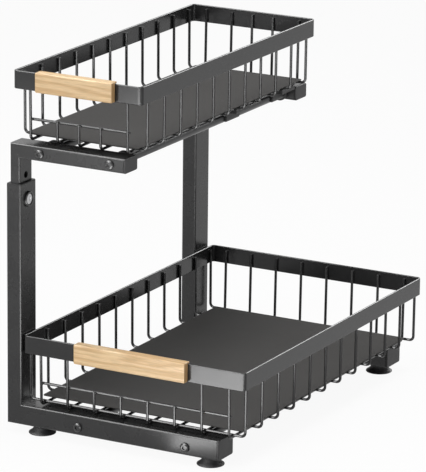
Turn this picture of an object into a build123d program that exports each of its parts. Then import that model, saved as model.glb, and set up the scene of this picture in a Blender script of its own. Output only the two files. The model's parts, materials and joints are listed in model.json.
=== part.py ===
from build123d import *
import math
import os

# Base frame: two sleeve posts welded on two low arms, front and rear
tube_wall = 1.5
tube_corner = 2.0
sleeve_width = 18.0
frame_depth = 32.0
base_arm_height = 22.5
base_arm_set_in = 29.3
rear_arm_extra_length = 7.5
sleeve_top_above_arm = 245.5
frame_spacing = 386.0

# Plastic sleeve guides and the posts that slide in them
guide_wall = 1.4
guide_length = 60.0
guide_collar_height = 0.8
guide_collar_inset = 0.2
running_gap = 0.1
glide_height = 8.0
glide_plug_length = 14.0
post_length = 237.0
index_hole_radius = 3.75
index_hole_pitch = 40.0
index_hole_count = 3
index_hole_below_arm = 20.4
rise_above_base_arm = 274.5

# Upper frame arms
top_arm_height = 16.0
top_arm_set_in = 17.0

# Arm end caps
cap_plate = 2.5
cap_plug_length = 11.0
cap_plug_wall = 1.6
cap_fit = 0.05

# Height clamps through the sleeve sides
clamp_below_sleeve_top = 17.9
clamp_nut_width = 12.0
clamp_nut_thickness = 1.3
clamp_window_margin = 0.2
clamp_head_stand_off = 1.7

# Thin screw heads on the right side, each sunk in a cup washer
thin_head_radius = 6.0
thin_head_height = 1.6
thin_head_dome = 1.0
thin_socket_depth = 1.2
cup_washer_floor = 0.8
cup_washer_recess = 1.4
cup_washer_gap = 0.3
cup_washer_rim = 2.3

# Machine screws with rounded socket heads
bolt_radius = 3.0
bolt_head_radius = 5.25
bolt_head_height = 3.0
bolt_dome = 2.3
socket_radius = 2.3
socket_depth = 2.0
hole_clearance = 0.2
thread_clearance = 0.05

# Rails and the inserts and buffers at their ends
rail_radius = 6.0
rail_wall = 1.5
rail_pair_wires = 33.0
base_rail_inset = 70.0
top_rail_inset = 36.0
base_rail_height = 9.0
top_rail_height = 8.0
insert_length = 18.0
bolt_engagement = 14.0
buffer_radius = 9.0
front_buffer_length = 6.0
buffer_rest_gap = 0.3

# Suction feet
foot_height = 10.0
foot_radius = 15.0
foot_lip = 1.2
foot_neck_radius = 9.3
foot_neck_height = 3.4
foot_hollow_radius = 13.6
foot_hollow_height = 3.4
foot_hollow_reach_share = 0.5
foot_hollow_drop_share = 0.25
foot_stem_radius = 3.0
foot_barb_radius = 4.3
foot_barb_height = 3.2
left_foot_inset = 35.2
right_foot_inset = 18.2

# Baskets, sizes that both share
band_height = 20.0
band_thickness = 2.0
band_corner = 5.0
wire_radius = 1.6
wire_bend = 5.0
wire_top_gap = 4.0
side_wall_inset = 2.3
end_wall_inset = 3.4
weld_gap = 0.02
window_wire_drop = 32.7
floor_thickness = 1.0
floor_corner = 4.0

# Lower basket
lower_basket_clearance = 1.0
lower_basket_height = 77.8
lower_basket_width = 272.0
lower_basket_set_back = 1.5
lower_basket_rear_overhang = 7.5
lower_basket_side_gap = 1.3
lower_side_wire_count = 12
lower_side_wire_end_gap = 10.15
lower_outer_wire_inset = 20.5
lower_middle_wire_share = 1 / 3
lower_floor_inset = 13.0
lower_floor_front_inset = 19.0
lower_handle_length = 136.0

# Upper basket
upper_basket_clearance = 2.4
upper_basket_height = 76.4
upper_basket_width = 158.0
upper_basket_set_back = 4.5
upper_basket_rear_set_back = 13.5
upper_basket_side_shift = 1.0
upper_side_wire_count = 11
upper_side_wire_front_gap = 19.0
upper_side_wire_rear_gap = 15.0
upper_floor_inset = 10.0
upper_handle_length = 94.0

# Wooden handles, an L section hooked over the rim band
handle_thickness = 8.0
handle_rise = 2.3
handle_lip = 3.5
handle_foot_gap = 0.3
handle_edge = 2.0
handle_screw_radius = 2.0
handle_screw_head_radius = 3.5
handle_screw_head_height = 2.0
handle_screw_bite = 5.0
handle_screw_spread_share = 0.62

# Plastic sliders clamped to a pair of wires, placed by the side wire bays in front of them
front_slider_bay_count = 6
rear_slider_bay_count = 9
slider_length = 30.0
slider_bore_gap = 0.06
slider_ring_wall = 2.2
slider_mouth_drop = 4.0
slider_flange_thickness = 4.0
slider_flange_overhang = 4.0
slider_corner = 1.5
groove_clearance = 0.1
clamp_bar_length = 26.0
clamp_bar_gap = 0.2
clamp_bar_corner = 1.2
slider_screw_offset = 12.0
slider_screw_radius = 1.75
slider_screw_head_radius = 3.0
slider_screw_head_height = 2.0
slider_screw_tip_gap = 0.4

# Sizes that follow from the ones above
side_gap = guide_wall + running_gap
post_width = sleeve_width - 2 * (tube_wall + side_gap)
post_depth = frame_depth - 2 * (tube_wall + side_gap)
post_left = tube_wall + side_gap
base_arm_top = foot_height + base_arm_height
sleeve_top = base_arm_top + sleeve_top_above_arm
top_arm_bottom = base_arm_top + rise_above_base_arm
top_arm_top = top_arm_bottom + top_arm_height
base_rail_z = foot_height + base_rail_height
top_rail_z = top_arm_bottom + top_rail_height
lower_left = sleeve_width + lower_basket_side_gap
lower_right = lower_left + lower_basket_width
lower_centre = lower_left + lower_basket_width / 2
upper_left = post_left + upper_basket_side_shift
upper_centre = upper_left + upper_basket_width / 2
base_arm_length = lower_right - base_arm_set_in
rear_arm_length = base_arm_length + rear_arm_extra_length
top_arm_end = upper_left + upper_basket_width - top_arm_set_in
base_rail_spread = lower_basket_width - 2 * base_rail_inset
top_rail_spread = upper_basket_width - 2 * top_rail_inset
clamp_z = sleeve_top - clamp_below_sleeve_top
lower_bottom = base_arm_top + lower_basket_clearance
upper_bottom = top_arm_top + upper_basket_clearance
lower_front = lower_basket_set_back
upper_front = post_left + upper_basket_set_back
rear_face = frame_spacing + frame_depth
lower_back = rear_face + lower_basket_rear_overhang
upper_back = rear_face - post_left - upper_basket_rear_set_back
handle_front = lower_front - handle_thickness
left_extent = -clamp_head_stand_off - bolt_head_height
origin_x = (left_extent + lower_right) / 2
origin_y = (handle_front + lower_back) / 2
cup_washer_recess_radius = thin_head_radius + cup_washer_gap
cup_washer_radius = cup_washer_recess_radius + cup_washer_rim
round_head = (bolt_head_radius, bolt_head_height, bolt_dome, socket_depth)
thin_head = (thin_head_radius, thin_head_height, thin_head_dome, thin_socket_depth)


def block(x0, x1, y0, y1, z0, z1):
    """Plain box between two opposite corners."""
    return Pos(x0, y0, z0) * Box(x1 - x0, y1 - y0, z1 - z0, align=(Align.MIN, Align.MIN, Align.MIN))


def rounded_bar_x(x0, x1, y0, y1, z0, z1, corner):
    """Bar along X whose long edges are rounded."""
    section = Pos((y0 + y1) / 2, (z0 + z1) / 2) * RectangleRounded(y1 - y0, z1 - z0, corner)
    return extrude(Plane.YZ.offset(x0) * section, amount=x1 - x0)


def rounded_bar_y(x0, x1, y0, y1, z0, z1, corner):
    """Bar along Y whose long edges are rounded."""
    section = Pos((x0 + x1) / 2, (z0 + z1) / 2) * RectangleRounded(x1 - x0, z1 - z0, corner)
    return extrude(Plane.XZ.offset(-y0) * section, amount=y0 - y1)


def rounded_bar_z(x0, x1, y0, y1, z0, z1, corner):
    """Bar along Z whose upright edges are rounded."""
    section = Pos((x0 + x1) / 2, (y0 + y1) / 2) * RectangleRounded(x1 - x0, y1 - y0, corner)
    return extrude(Plane.XY.offset(z0) * section, amount=z1 - z0)


def rod_x(y, z, x0, x1, radius):
    """Round rod along X."""
    return extrude(Plane.YZ.offset(x0) * Pos(y, z) * Circle(radius), amount=x1 - x0)


def rod_y(x, z, y0, y1, radius):
    """Round rod along Y."""
    return extrude(Plane.XZ.offset(-y0) * Pos(x, z) * Circle(radius), amount=y0 - y1)


def rod_z(x, y, z0, z1, radius):
    """Round rod along Z."""
    return extrude(Plane.XY.offset(z0) * Pos(x, y) * Circle(radius), amount=z1 - z0)


def bent_wire(points, radius, bend):
    """Round wire that follows a few straight runs with equal bends between them."""
    path = FilletPolyline(*points, radius=bend)
    section = Plane(origin=path @ 0, z_dir=path % 0) * Circle(radius)
    return sweep(section, path=path)


def socket_screw(shank_length, head_sizes):
    """Screw along +Z with its rounded head below the plane z = 0."""
    radius, height, dome, depth = head_sizes
    head = rod_z(0, 0, -height, 0, radius)
    rim = head.edges().filter_by(GeomType.CIRCLE).sort_by(Axis.Z)[0]
    head = fillet(rim, dome)
    socket = Plane.XY.offset(-height) * RegularPolygon(socket_radius, 6)
    head -= extrude(socket, amount=depth)
    return head + rod_z(0, 0, 0, shank_length, bolt_radius)


def place(shape):
    """Moves a piece from the corner of the frame to the middle of the footprint."""
    return Pos(-origin_x, -origin_y, 0) * shape


def write(name, pieces):
    """Writes one node, a single solid or a group of like solids."""
    placed = [place(piece) for piece in pieces]
    shape = placed[0] if len(placed) == 1 else Compound(children=placed)
    export_step(shape, "parts/" + name + ".step")


def arm_bar(left, end, front, back, bottom, top):
    """Arm with rounded long edges whose left end is rounded like the post that stands on it."""
    arm = rounded_bar_x(left, end, front, back, bottom, top, tube_corner)
    return arm & rounded_bar_z(left, end + 2 * tube_corner, front, back, bottom, top, tube_corner)


def base_frame(y0, arm_length):
    """One sleeve post on its base arm, welded into one piece."""
    y1 = y0 + frame_depth
    inner_corner = tube_corner - tube_wall
    tube_end = arm_length - cap_plate
    frame = arm_bar(0, tube_end, y0, y1, foot_height, base_arm_top)
    frame += rounded_bar_z(0, sleeve_width, y0, y1, base_arm_top - tube_corner, sleeve_top, tube_corner)
    frame -= rounded_bar_x(tube_wall, tube_end, y0 + tube_wall, y1 - tube_wall,
                           foot_height + tube_wall, base_arm_top - tube_wall, inner_corner)
    frame -= rounded_bar_z(tube_wall, sleeve_width - tube_wall, y0 + tube_wall, y1 - tube_wall,
                           base_arm_top, sleeve_top, inner_corner)
    for x in rail_places(lower_centre, base_rail_spread):
        frame -= rod_y(x, base_rail_z, y0, y1, bolt_radius + hole_clearance)
    for x in foot_places(arm_length):
        frame -= rod_z(x, (y0 + y1) / 2, foot_height, foot_height + tube_wall,
                       foot_stem_radius + hole_clearance)
    frame -= rod_x((y0 + y1) / 2, clamp_z, 0, sleeve_width, bolt_radius + hole_clearance)
    return frame


def top_frame(y0):
    """One inner post under its top arm, welded into one piece."""
    front = y0 + post_left
    back = front + post_depth
    inner_corner = tube_corner - tube_wall
    tube_end = top_arm_end - cap_plate
    post_right = post_left + post_width
    post_bottom = top_arm_bottom - post_length
    frame = arm_bar(post_left, tube_end, front, back, top_arm_bottom, top_arm_top)
    frame += rounded_bar_z(post_left, post_right, front, back,
                           post_bottom, top_arm_bottom + tube_corner, tube_corner)
    frame -= rounded_bar_x(post_left + tube_wall, tube_end, front + tube_wall, back - tube_wall,
                           top_arm_bottom + tube_wall, top_arm_top - tube_wall, inner_corner)
    frame -= rounded_bar_z(post_left + tube_wall, post_right - tube_wall, front + tube_wall, back - tube_wall,
                           post_bottom, top_arm_bottom, inner_corner)
    for x in rail_places(upper_centre, top_rail_spread):
        frame -= rod_y(x, top_rail_z, front, back, bolt_radius + hole_clearance)
    for step in range(index_hole_count):
        hole_z = top_arm_bottom - index_hole_below_arm - step * index_hole_pitch
        frame -= rod_x((front + back) / 2, hole_z, post_left, post_right, index_hole_radius)
    return frame


def end_cap(end, front, back, bottom, top):
    """Plastic cap, flush with an arm's right end, with a hollow plug inside the tube."""
    cap = rounded_bar_x(end - cap_plate, end, front, back, bottom, top, tube_corner)
    inset = tube_wall + cap_fit
    corner = tube_corner - tube_wall
    root = end - cap_plate
    tip = root - cap_plug_length
    plug = rounded_bar_x(tip, root, front + inset, back - inset, bottom + inset, top - inset, corner)
    deep = inset + cap_plug_wall
    plug -= block(tip, root, front + deep, back - deep, bottom + deep, top - deep)
    return cap + plug


def sleeve_guide(y0):
    """Plastic liner in the sleeve that the post slides in, with a thin collar on the sleeve's top edge
    and windows for the clamp nuts."""
    left = tube_wall
    right = sleeve_width - tube_wall
    front = y0 + tube_wall
    back = y0 + frame_depth - tube_wall
    bottom = sleeve_top - guide_length
    top = sleeve_top + guide_collar_height
    edge = guide_collar_inset
    guide = rounded_bar_z(left, right, front, back, bottom, sleeve_top, tube_corner - tube_wall)
    guide += rounded_bar_z(edge, sleeve_width - edge, y0 + edge, y0 + frame_depth - edge,
                           sleeve_top, top, tube_corner)
    guide -= rounded_bar_z(left + guide_wall, right - guide_wall, front + guide_wall, back - guide_wall,
                           bottom, top, tube_corner)
    half = clamp_nut_width / 2 + clamp_window_margin
    middle = y0 + frame_depth / 2
    return guide - block(left, right, middle - half, middle + half, clamp_z - half, clamp_z + half)


def post_glide(y0):
    """Plastic foot of a post that keeps it centred in the sleeve."""
    clear = tube_wall + running_gap
    top = top_arm_bottom - post_length
    glide = rounded_bar_z(clear, sleeve_width - clear, y0 + clear, y0 + frame_depth - clear,
                          top - glide_height, top, tube_corner - tube_wall)
    inset = post_left + tube_wall + cap_fit
    glide += rounded_bar_z(inset, sleeve_width - inset, y0 + inset, y0 + frame_depth - inset,
                           top, top + glide_plug_length, tube_corner - tube_wall)
    return glide


def clamp_nuts(y0):
    """Two thin nuts on the inner side walls of a sleeve."""
    middle = y0 + frame_depth / 2
    half = clamp_nut_width / 2
    nuts = []
    for x0 in (tube_wall, sleeve_width - tube_wall - clamp_nut_thickness):
        x1 = x0 + clamp_nut_thickness
        nut = block(x0, x1, middle - half, middle + half, clamp_z - half, clamp_z + half)
        nuts.append(nut - rod_x(middle, clamp_z, x0, x1, bolt_radius + thread_clearance))
    return nuts


def left_clamp_screw(y0):
    """Screw with a domed head whose tip bears on the left of a post."""
    length = clamp_head_stand_off + tube_wall + guide_wall
    at_sleeve = Location((-clamp_head_stand_off, y0 + frame_depth / 2, clamp_z), (0, 90, 0))
    return at_sleeve * socket_screw(length, round_head)


def right_clamp_screw(y0):
    """Screw with a thin head in a cup washer, whose tip bears on the right of a post."""
    length = cup_washer_floor + tube_wall + guide_wall
    at_sleeve = Location((sleeve_width + cup_washer_floor, y0 + frame_depth / 2, clamp_z), (0, -90, 0))
    return at_sleeve * socket_screw(length, thin_head)


def clamp_washer(y0):
    """Cup washer that the right clamp screw's head is sunk in."""
    middle = y0 + frame_depth / 2
    seat = sleeve_width + cup_washer_floor
    x1 = seat + cup_washer_recess
    washer = rod_x(middle, clamp_z, sleeve_width, x1, cup_washer_radius)
    washer -= rod_x(middle, clamp_z, seat, x1, cup_washer_recess_radius)
    return washer - rod_x(middle, clamp_z, sleeve_width, x1, bolt_radius + hole_clearance)


def rail_places(centre, spread):
    """X places of a tier's two rails."""
    return (centre - spread / 2, centre + spread / 2)


def foot_places(arm_length):
    """X places of the two feet under an arm."""
    return (left_foot_inset, arm_length - right_foot_inset)


def rail(x, z, y0, y1):
    """Round tube between a front and a rear arm."""
    return rod_y(x, z, y0, y1, rail_radius) - rod_y(x, z, y0, y1, rail_radius - rail_wall)


def rail_inserts(x, z, y0, y1):
    """Threaded inserts in both ends of a rail."""
    outer = rail_radius - rail_wall - thread_clearance
    inner = bolt_radius + thread_clearance
    front = rod_y(x, z, y0, y0 + insert_length, outer) - rod_y(x, z, y0, y0 + insert_length, inner)
    back = rod_y(x, z, y1 - insert_length, y1, outer) - rod_y(x, z, y1 - insert_length, y1, inner)
    return [front, back]


def rail_bolts(x, z, y0, y1, arm_depth):
    """Bolts through the arms into a rail's inserts."""
    length = arm_depth + bolt_engagement
    front = Location((x, y0 - arm_depth, z), (-90, 0, 0)) * socket_screw(length, round_head)
    back = Location((x, y1 + arm_depth, z), (90, 0, 0)) * socket_screw(length, round_head)
    return [front, back]


def buffer(x, z, y0, y1):
    """Rubber ring round a rail."""
    return rod_y(x, z, y0, y1, buffer_radius) - rod_y(x, z, y0, y1, rail_radius + thread_clearance)


def suction_foot(x, y):
    """Rubber cup with a stem and barb that hold it in the arm's lower wall."""
    stem_top = foot_height + tube_wall
    barb_root = stem_top + cap_fit
    outline = Polyline(
        (0, foot_hollow_height),
        (foot_hollow_radius * foot_hollow_reach_share, foot_hollow_height * (1 - foot_hollow_drop_share)),
        (foot_hollow_radius, 0),
        (foot_radius, 0),
        (foot_radius, foot_lip),
        (foot_neck_radius, foot_height - foot_neck_height),
        (foot_neck_radius, foot_height),
        (foot_stem_radius, foot_height),
        (foot_stem_radius, barb_root),
        (foot_barb_radius, barb_root),
        (foot_stem_radius, barb_root + foot_barb_height),
        (0, barb_root + foot_barb_height),
        close=True,
    )
    return Pos(x, y, 0) * revolve(Plane.XZ * make_face(outline), axis=Axis.Z)


class Basket:
    """All pieces of one basket, in the frame's own coordinates."""

    def __init__(self, left, right, front, back, bottom, height, wires, side_count, side_gaps,
                 floor_inset, floor_front_inset, handle_length, rail_spread, rail_z):
        self.left = left
        self.right = right
        self.front = front
        self.back = back
        self.bottom = bottom
        self.top = bottom + height
        self.centre = (left + right) / 2
        self.wires = wires
        self.side_count = side_count
        self.side_gaps = side_gaps
        self.floor_inset = floor_inset
        self.floor_front_inset = floor_front_inset
        self.handle_length = handle_length
        self.rail_spread = rail_spread
        self.rail_z = rail_z
        self.wire_top = self.top - wire_top_gap
        self.low_wire_z = bottom + wire_radius
        self.high_wire_z = self.low_wire_z + 2 * wire_radius
        self.floor_z = self.high_wire_z + wire_radius
        self.window_z = self.top - band_height - window_wire_drop

    def lean(self, z, bottom_z, wall_inset=end_wall_inset):
        """How far a wall wire's axis stands inside the rim at a height."""
        top_inset = band_thickness + wire_radius
        bottom_inset = wall_inset + wire_radius
        share = (self.wire_top - z) / (self.wire_top - bottom_z)
        return top_inset + (bottom_inset - top_inset) * share

    def side_places(self):
        """Y places of the side wires."""
        front_gap, rear_gap = self.side_gaps
        first = self.front + front_gap
        pitch = (self.back - rear_gap - first) / (self.side_count - 1)
        return [first + step * pitch for step in range(self.side_count)]

    def rim(self):
        """Flat band bent into a rounded rectangle, drilled for the handle's screws."""
        z0 = self.top - band_height
        band = rounded_bar_z(self.left, self.right, self.front, self.back, z0, self.top, band_corner)
        band -= rounded_bar_z(self.left + band_thickness, self.right - band_thickness,
                              self.front + band_thickness, self.back - band_thickness,
                              z0, self.top, band_corner - band_thickness)
        for x in self.handle_screw_places():
            band -= rod_y(x, self.top - band_height / 2, self.front, self.front + band_thickness,
                          handle_screw_radius + hole_clearance)
        return band

    def side_wires(self):
        """U wires from the left wall, under the floor, to the right wall."""
        high = self.lean(self.wire_top, self.high_wire_z, side_wall_inset)
        low = self.lean(self.high_wire_z, self.high_wire_z, side_wall_inset)
        wires = []
        for y in self.side_places():
            points = [
                (self.left + high, y, self.wire_top),
                (self.left + low, y, self.high_wire_z),
                (self.right - low, y, self.high_wire_z),
                (self.right - high, y, self.wire_top),
            ]
            wires.append(bent_wire(points, wire_radius, wire_bend))
        return wires

    def length_wires(self):
        """U wires from the front wall, under the floor, to the rear wall."""
        low = self.lean(self.low_wire_z, self.low_wire_z)
        high = self.lean(self.wire_top, self.low_wire_z)
        wires = []
        for offset in self.wires:
            x = self.centre + offset
            is_short = abs(offset) < self.rail_spread / 2
            front_z = self.window_z + wire_radius if is_short else self.wire_top
            front_inset = self.lean(front_z, self.low_wire_z)
            points = [
                (x, self.front + front_inset, front_z),
                (x, self.front + low, self.low_wire_z),
                (x, self.back - low, self.low_wire_z),
                (x, self.back - high, self.wire_top),
            ]
            wires.append(bent_wire(points, wire_radius, wire_bend))
        return wires

    def window_wire(self):
        """Straight wire along the lower edge of the front opening."""
        y = self.front + self.lean(self.window_z, self.low_wire_z) + 2 * wire_radius + weld_gap
        reach = max(self.wires) + wire_radius
        return rod_x(y, self.window_z, self.centre - reach, self.centre + reach, wire_radius)

    def floor(self):
        """Thin sheet that lies on the wires."""
        inset = self.floor_inset
        return rounded_bar_z(self.left + inset, self.right - inset,
                             self.front + self.floor_front_inset, self.back - inset,
                             self.floor_z, self.floor_z + floor_thickness, floor_corner)

    def handle_screw_places(self):
        """X places of the two handle screws."""
        half = self.handle_length * handle_screw_spread_share / 2
        return (self.centre - half, self.centre + half)

    def handle(self):
        """Wooden grip in front of the band with a lip over its top edge."""
        x0 = self.centre - self.handle_length / 2
        x1 = self.centre + self.handle_length / 2
        bottom = self.top - band_height + handle_foot_gap
        top = self.top + handle_rise
        grip = block(x0, x1, self.front - handle_thickness, self.front, bottom, top)
        grip += block(x0, x1, self.front, self.front + handle_lip, self.top, top)
        front_face = grip.faces().sort_by(Axis.Y)[0]
        grip = fillet(front_face.edges(), handle_edge)
        for x in self.handle_screw_places():
            grip -= rod_y(x, self.top - band_height / 2, self.front - handle_screw_bite, self.front,
                          handle_screw_radius + thread_clearance)
        return grip

    def handle_screws(self):
        """Screws from inside the band into the grip."""
        z = self.top - band_height / 2
        seat = self.front + band_thickness
        screws = []
        for x in self.handle_screw_places():
            head = rod_y(x, z, seat, seat + handle_screw_head_height, handle_screw_head_radius)
            screws.append(head + rod_y(x, z, self.front - handle_screw_bite, seat, handle_screw_radius))
        return screws

    def slider_places(self):
        """X and Y places of the four sliders, front pair first."""
        places = self.side_places()
        found = []
        for bay in (front_slider_bay_count, rear_slider_bay_count):
            y = (places[bay] + places[bay + 1]) / 2
            for x in rail_places(self.centre, self.rail_spread):
                found.append((x, y))
        return found

    def wire_grooves(self, x, y, length):
        """Cutters for the two wires that pass through a slider."""
        grooves = []
        for side in (-1, 1):
            groove_x = x + side * rail_pair_wires / 2
            grooves.append(rod_y(groove_x, self.low_wire_z, y - length / 2, y + length / 2,
                                 wire_radius + groove_clearance))
        return grooves

    def slider(self, x, y):
        """Open ring that clips over the rail, with a flange under two wires."""
        y0 = y - slider_length / 2
        y1 = y + slider_length / 2
        bore = rail_radius + slider_bore_gap
        ring = bore + slider_ring_wall
        half = rail_pair_wires / 2 + slider_flange_overhang
        flange_bottom = self.bottom - slider_flange_thickness
        body = rod_y(x, self.rail_z, y0, y1, ring)
        body += block(x - ring, x + ring, y0, y1, self.rail_z, flange_bottom + slider_corner)
        body += rounded_bar_y(x - half, x + half, y0, y1, flange_bottom, self.low_wire_z, slider_corner)
        body -= rod_y(x, self.rail_z, y0, y1, bore)
        body -= block(x - ring, x + ring, y0, y1, self.rail_z - ring, self.rail_z - slider_mouth_drop)
        for groove in self.wire_grooves(x, y, slider_length):
            body -= groove
        for side in (-1, 1):
            screw_x = x + side * slider_screw_offset
            body -= rod_z(screw_x, y, flange_bottom, self.low_wire_z, slider_screw_radius + hole_clearance)
        return body

    def clamp_bar(self, x, y):
        """Bar over the two wires that a slider is screwed to."""
        y0 = y - clamp_bar_length / 2
        y1 = y + clamp_bar_length / 2
        half = rail_pair_wires / 2 + slider_flange_overhang
        z0 = self.low_wire_z + clamp_bar_gap
        z1 = self.floor_z - clamp_bar_gap
        bar = rounded_bar_y(x - half, x + half, y0, y1, z0, z1, clamp_bar_corner)
        for groove in self.wire_grooves(x, y, clamp_bar_length):
            bar -= groove
        for side in (-1, 1):
            screw_x = x + side * slider_screw_offset
            bar -= rod_z(screw_x, y, z0, z1, slider_screw_radius + thread_clearance)
        return bar

    def slider_screws(self, x, y):
        """Two screws from below, through the flange, into the clamp bar."""
        seat = self.bottom - slider_flange_thickness
        tip = self.floor_z - slider_screw_tip_gap
        screws = []
        for side in (-1, 1):
            screw_x = x + side * slider_screw_offset
            head = rod_z(screw_x, y, seat - slider_screw_head_height, seat, slider_screw_head_radius)
            screws.append(head + rod_z(screw_x, y, seat, tip, slider_screw_radius))
        return screws

    def write_all(self, name):
        """Writes every node of this basket."""
        write(name + "_rim_band", [self.rim()])
        write(name + "_side_wires", self.side_wires())
        write(name + "_length_wires", self.length_wires())
        write(name + "_window_wire", [self.window_wire()])
        write(name + "_floor_plate", [self.floor()])
        write(name + "_handle", [self.handle()])
        write(name + "_handle_screws", self.handle_screws())
        bars = []
        screws = []
        corners = ("front_left", "front_right", "rear_left", "rear_right")
        for corner, (x, y) in zip(corners, self.slider_places()):
            write(name + "_slider_" + corner, [self.slider(x, y)])
            bars.append(self.clamp_bar(x, y))
            screws += self.slider_screws(x, y)
        write(name + "_slider_clamp_bars", bars)
        write(name + "_slider_screws", screws)


def write_rails(name, basket, front_y, back_y, arm_depth):
    """Writes the rails of a tier with their inserts, bolts and buffers."""
    inserts = []
    bolts = []
    front_buffers = []
    rear_buffers = []
    slider_back = basket.slider_places()[-1][1] + slider_length / 2
    for side, x in zip(("left", "right"), rail_places(basket.centre, basket.rail_spread)):
        write(name + "_" + side + "_rail", [rail(x, basket.rail_z, front_y, back_y)])
        inserts += rail_inserts(x, basket.rail_z, front_y, back_y)
        bolts += rail_bolts(x, basket.rail_z, front_y, back_y, arm_depth)
        front_buffers.append(buffer(x, basket.rail_z, front_y, front_y + front_buffer_length))
        rear_buffers.append(buffer(x, basket.rail_z, slider_back + buffer_rest_gap, back_y))
    write(name + "_rail_inserts", inserts)
    write(name + "_rail_bolts", bolts)
    write(name + "_front_buffers", front_buffers)
    write(name + "_rear_buffers", rear_buffers)


def mirrored(distances):
    """Left and right offsets from distances to the middle."""
    return sorted([-distance for distance in distances] + distances)


def lower_basket():
    """The wide basket on the base rails."""
    inner = (base_rail_spread - rail_pair_wires) / 2
    outer = (base_rail_spread + rail_pair_wires) / 2
    outermost = lower_basket_width / 2 - lower_outer_wire_inset
    wires = mirrored([inner * lower_middle_wire_share, inner, outer, outermost])
    side_gaps = (lower_side_wire_end_gap, lower_side_wire_end_gap)
    return Basket(lower_left, lower_right, lower_front, lower_back, lower_bottom, lower_basket_height,
                  wires, lower_side_wire_count, side_gaps, lower_floor_inset, lower_floor_front_inset,
                  lower_handle_length, base_rail_spread, base_rail_z)


def upper_basket():
    """The narrow basket on the top rails."""
    inner = (top_rail_spread - rail_pair_wires) / 2
    outer = (top_rail_spread + rail_pair_wires) / 2
    wires = mirrored([inner, outer]) + [0]
    side_gaps = (upper_side_wire_front_gap, upper_side_wire_rear_gap)
    return Basket(upper_left, upper_left + upper_basket_width, upper_front, upper_back, upper_bottom,
                  upper_basket_height, wires, upper_side_wire_count, side_gaps, upper_floor_inset,
                  upper_floor_inset, upper_handle_length, top_rail_spread, top_rail_z)


def main():
    os.makedirs("parts", exist_ok=True)
    lower = lower_basket()
    upper = upper_basket()
    nuts = []
    left_screws = []
    right_screws = []
    washers = []
    for side, y0, arm_length in (("front", 0, base_arm_length), ("rear", frame_spacing, rear_arm_length)):
        front = y0 + post_left
        back = front + post_depth
        write("base_" + side + "_frame", [base_frame(y0, arm_length)])
        write("base_" + side + "_end_cap",
              [end_cap(arm_length, y0, y0 + frame_depth, foot_height, base_arm_top)])
        write(side + "_sleeve_guide", [sleeve_guide(y0)])
        write("top_" + side + "_frame", [top_frame(y0)])
        write("top_" + side + "_end_cap", [end_cap(top_arm_end, front, back, top_arm_bottom, top_arm_top)])
        write(side + "_post_glide", [post_glide(y0)])
        nuts += clamp_nuts(y0)
        left_screws.append(left_clamp_screw(y0))
        right_screws.append(right_clamp_screw(y0))
        washers.append(clamp_washer(y0))
        for hand, x in zip(("left", "right"), foot_places(arm_length)):
            write("foot_" + side + "_" + hand, [suction_foot(x, y0 + frame_depth / 2)])
    write("height_clamp_nuts", nuts)
    write("height_clamp_left_screws", left_screws)
    write("height_clamp_right_screws", right_screws)
    write("height_clamp_washers", washers)
    write_rails("base", lower, frame_depth, frame_spacing, frame_depth)
    write_rails("top", upper, post_left + post_depth, frame_spacing + post_left, post_depth)
    lower.write_all("lower")
    upper.write_all("upper")


main()
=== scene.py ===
"""Looks of the under sink organizer: pieces, finishes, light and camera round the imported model."""
import json
from math import cos, pi, radians, sin

import bmesh
import bpy
from mathutils import Euler, Matrix, Vector

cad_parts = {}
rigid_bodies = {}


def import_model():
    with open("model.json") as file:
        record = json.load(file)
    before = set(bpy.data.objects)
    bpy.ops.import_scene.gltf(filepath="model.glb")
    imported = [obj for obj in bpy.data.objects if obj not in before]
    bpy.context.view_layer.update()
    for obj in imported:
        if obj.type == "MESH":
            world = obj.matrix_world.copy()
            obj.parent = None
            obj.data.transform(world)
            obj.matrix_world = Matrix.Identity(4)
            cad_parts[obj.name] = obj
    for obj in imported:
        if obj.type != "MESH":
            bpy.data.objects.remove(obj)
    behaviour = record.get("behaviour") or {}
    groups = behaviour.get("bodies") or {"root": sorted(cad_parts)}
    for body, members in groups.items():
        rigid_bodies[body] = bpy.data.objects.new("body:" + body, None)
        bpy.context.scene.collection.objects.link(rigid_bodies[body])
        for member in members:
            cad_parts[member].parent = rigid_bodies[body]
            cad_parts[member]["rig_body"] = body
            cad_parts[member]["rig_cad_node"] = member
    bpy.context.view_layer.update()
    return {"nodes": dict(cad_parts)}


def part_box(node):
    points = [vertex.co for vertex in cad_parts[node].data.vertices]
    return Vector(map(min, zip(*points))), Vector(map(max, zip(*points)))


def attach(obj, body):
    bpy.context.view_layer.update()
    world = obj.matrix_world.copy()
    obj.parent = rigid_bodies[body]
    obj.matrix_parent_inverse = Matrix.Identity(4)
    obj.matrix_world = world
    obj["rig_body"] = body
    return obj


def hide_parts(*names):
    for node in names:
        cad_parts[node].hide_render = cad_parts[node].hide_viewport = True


bl_info = {
    "name": "Under Sink Organizer",
    "version": (1, 0, 0),
    "blender": (4, 5, 0),
    "location": "3D View > Sidebar > Organizer",
    "description": "Models the organizer's pieces and finishes on its packed frame",
    "category": "Object",
}

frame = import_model()

MM = 0.001
TIERS = ("lower", "upper")
ARMS = {"lower": "base", "upper": "top"}
BASKET_BODY = {"lower": "lower_basket", "upper": "upper_basket"}
RAIL_BODY = {"lower": "base", "upper": "upper_frame"}

# Distances at which points count as one
TOUCHING = 0.01 * MM
AT_POINT = 0.1 * MM

# Screws with a socket
SHANK_RADIUS = 3 * MM
SOCKET_RADIUS = 2.3 * MM
BOLT_DOME = 2.3 * MM

# Camera
PHOTO_WIDTH = 426
SENSOR_WIDTH = 36.0

# White of the floor under the object's shadow, and the share of it that shows as plain white
FLOOR_WHITE = 0.86
FLOOR_GLOW = 0.93

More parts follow.
